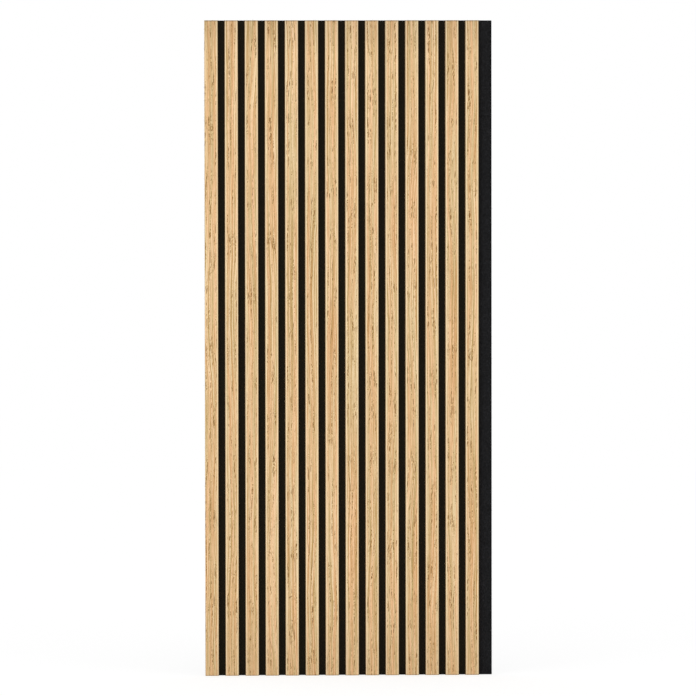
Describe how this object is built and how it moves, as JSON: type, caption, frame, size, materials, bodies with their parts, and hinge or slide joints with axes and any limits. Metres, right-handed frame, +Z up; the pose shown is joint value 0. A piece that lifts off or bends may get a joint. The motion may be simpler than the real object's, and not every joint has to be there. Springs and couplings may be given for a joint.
{
  "type": "acoustic slat wall panel",
  "caption": "Flat upright wall panel of parallel oak-veneered slats stapled to a black felt board, with a bare strip of felt along one side where the next panel joins.",
  "frame": {"origin": "on the back of the felt, which lies against the wall, at the middle of its bottom edge", "axes": "+Z up along the slats, +Y out of the back into the wall, +X across the panel towards the bare strip of felt"},
  "size_m": [0.572, 0.021, 1.308],
  "materials": {
    "oak_veneer": "matte",
    "mdf_core": "matte",
    "pet_felt": "matte",
    "staple_steel": "satin"
  },
  "bodies": {
    "root": {"felt_backing": "pet_felt", "slat_01_core": "mdf_core", "slat_01_veneer": "oak_veneer", "slat_01_staples": "staple_steel", "slat_02_core": "mdf_core", "slat_02_veneer": "oak_veneer", "slat_02_staples": "staple_steel", "slat_03_core": "mdf_core", "slat_03_veneer": "oak_veneer", "slat_03_staples": "staple_steel", "slat_04_core": "mdf_core", "slat_04_veneer": "oak_veneer", "slat_04_staples": "staple_steel", "slat_05_core": "mdf_core", "slat_05_veneer": "oak_veneer", "slat_05_staples": "staple_steel", "slat_06_core": "mdf_core", "slat_06_veneer": "oak_veneer", "slat_06_staples": "staple_steel", "slat_07_core": "mdf_core", "slat_07_veneer": "oak_veneer", "slat_07_staples": "staple_steel", "slat_08_core": "mdf_core", "slat_08_veneer": "oak_veneer", "slat_08_staples": "staple_steel", "slat_09_core": "mdf_core", "slat_09_veneer": "oak_veneer", "slat_09_staples": "staple_steel", "slat_10_core": "mdf_core", "slat_10_veneer": "oak_veneer", "slat_10_staples": "staple_steel", "slat_11_core": "mdf_core", "slat_11_veneer": "oak_veneer", "slat_11_staples": "staple_steel", "slat_12_core": "mdf_core", "slat_12_veneer": "oak_veneer", "slat_12_staples": "staple_steel", "slat_13_core": "mdf_core", "slat_13_veneer": "oak_veneer", "slat_13_staples": "staple_steel", "slat_14_core": "mdf_core", "slat_14_veneer": "oak_veneer", "slat_14_staples": "staple_steel"}
  },
  "joints": []
}
